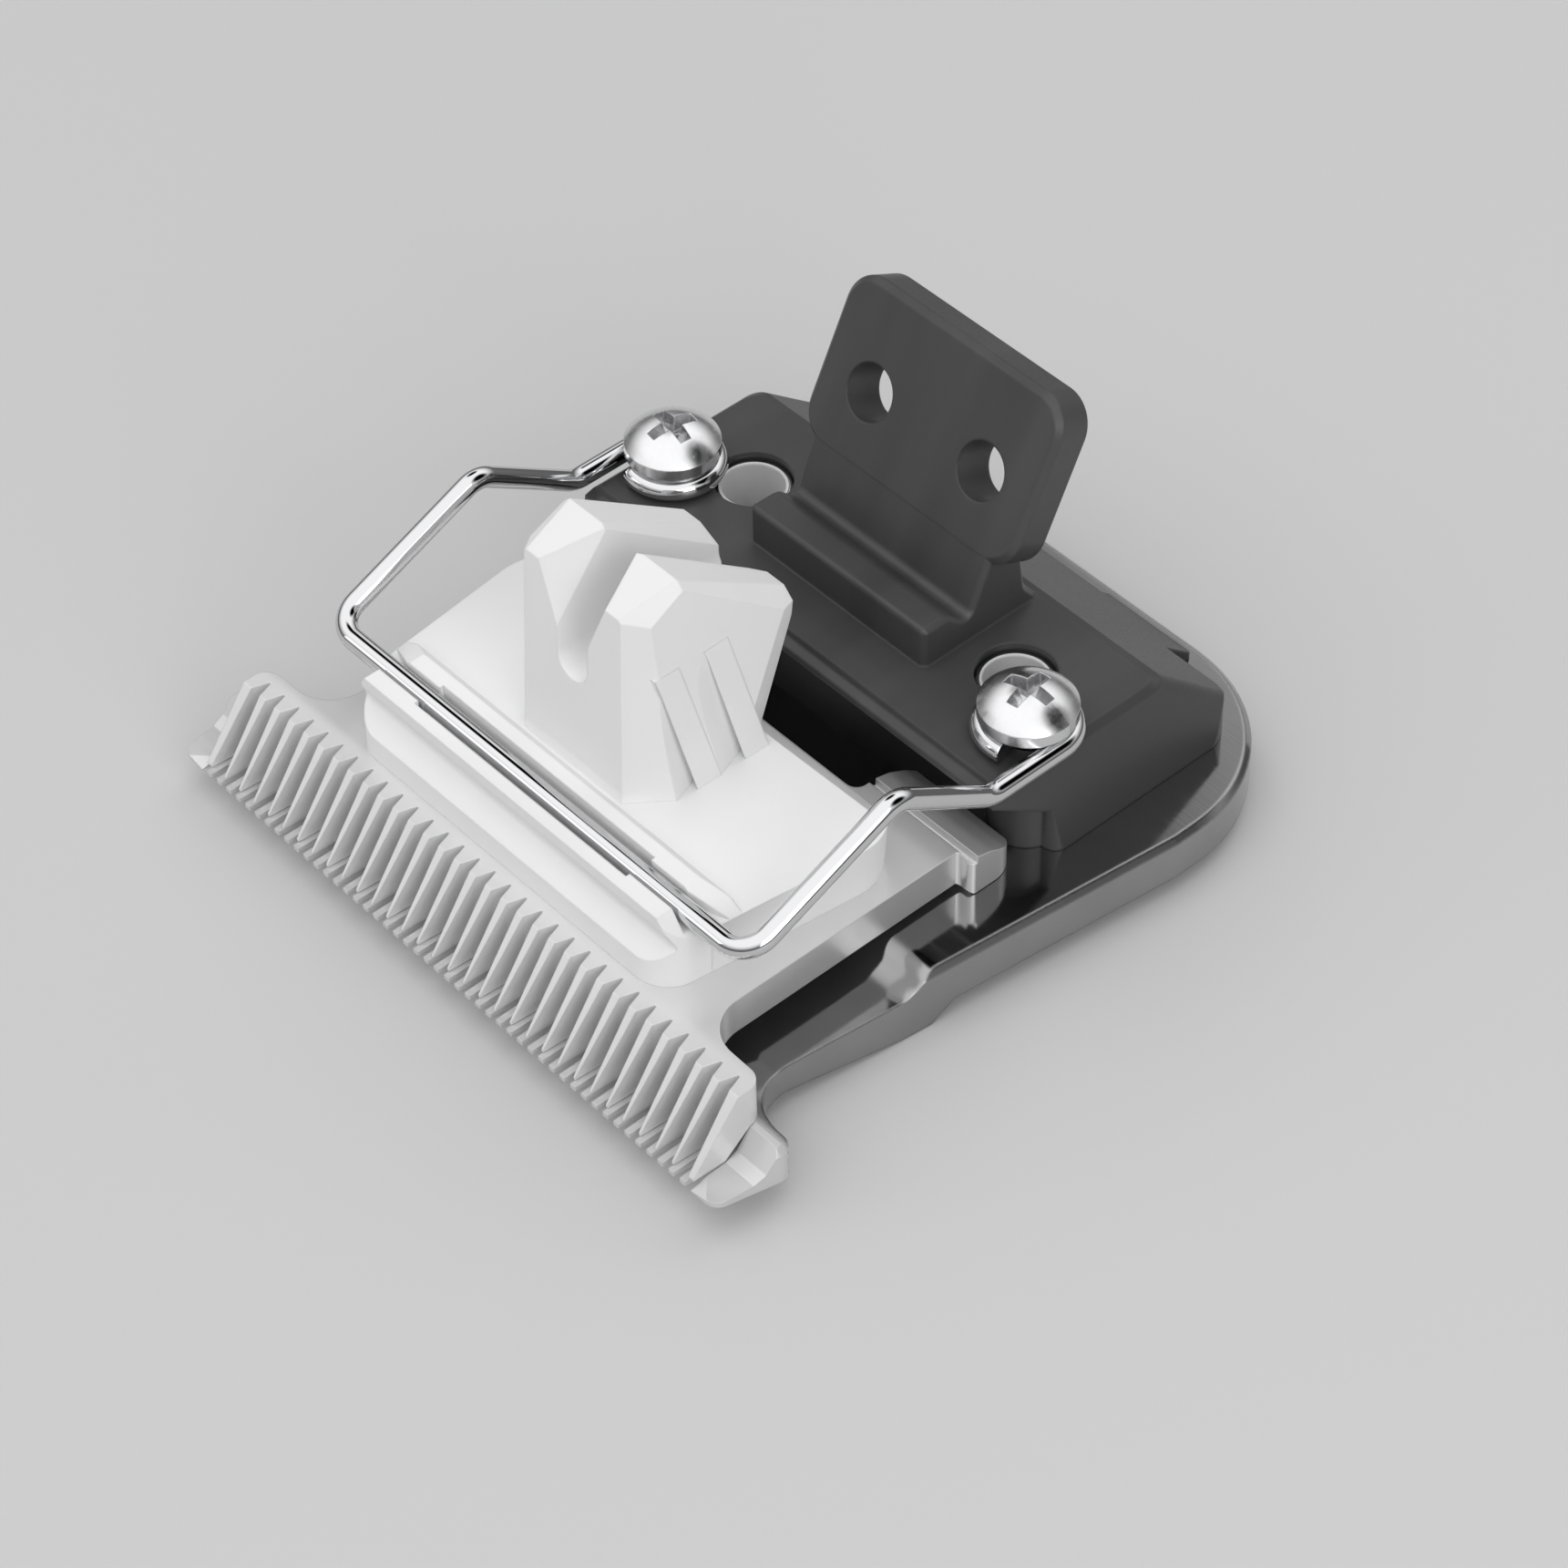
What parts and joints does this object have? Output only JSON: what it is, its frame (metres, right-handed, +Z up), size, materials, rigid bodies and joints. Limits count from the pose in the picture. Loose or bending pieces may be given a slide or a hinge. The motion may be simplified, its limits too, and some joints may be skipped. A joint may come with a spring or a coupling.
{
  "type": "hair clipper blade",
  "caption": "Wide-toothed clipper blade set: comb plate, sliding cutter with a forked drive block, bent wire tension spring and a dark holder with a leaning hinge tab.",
  "frame": {"origin": "under the middle of the comb plate, on the plane of its lowest underside", "axes": "+X along the tooth row, +Y from the tooth tips to the back, +Z up out of the comb's top"},
  "size_m": [0.044, 0.0442, 0.0234],
  "materials": {
    "comb_steel": "polished steel",
    "cutter_steel": "fine satin ground steel",
    "white_plastic": "matte moulded",
    "spring_wire": "bright plated",
    "screw_metal": "bright plated, turned head",
    "dark_plastic": "satin moulded"
  },
  "bodies": {
    "stock": {"fixed_blade": "comb_steel", "holder": "dark_plastic", "screw_left": "screw_metal", "screw_right": "screw_metal", "tension_spring": "spring_wire"},
    "cutter": {"moving_blade": "cutter_steel", "drive_fork": "white_plastic"}
  },
  "joints": [
    {"name": "cutter_slide", "type": "slide", "parent": "stock", "child": "cutter", "axis": [1, 0, 0], "range_m": [-0.0015, 0.0015]}
  ]
}
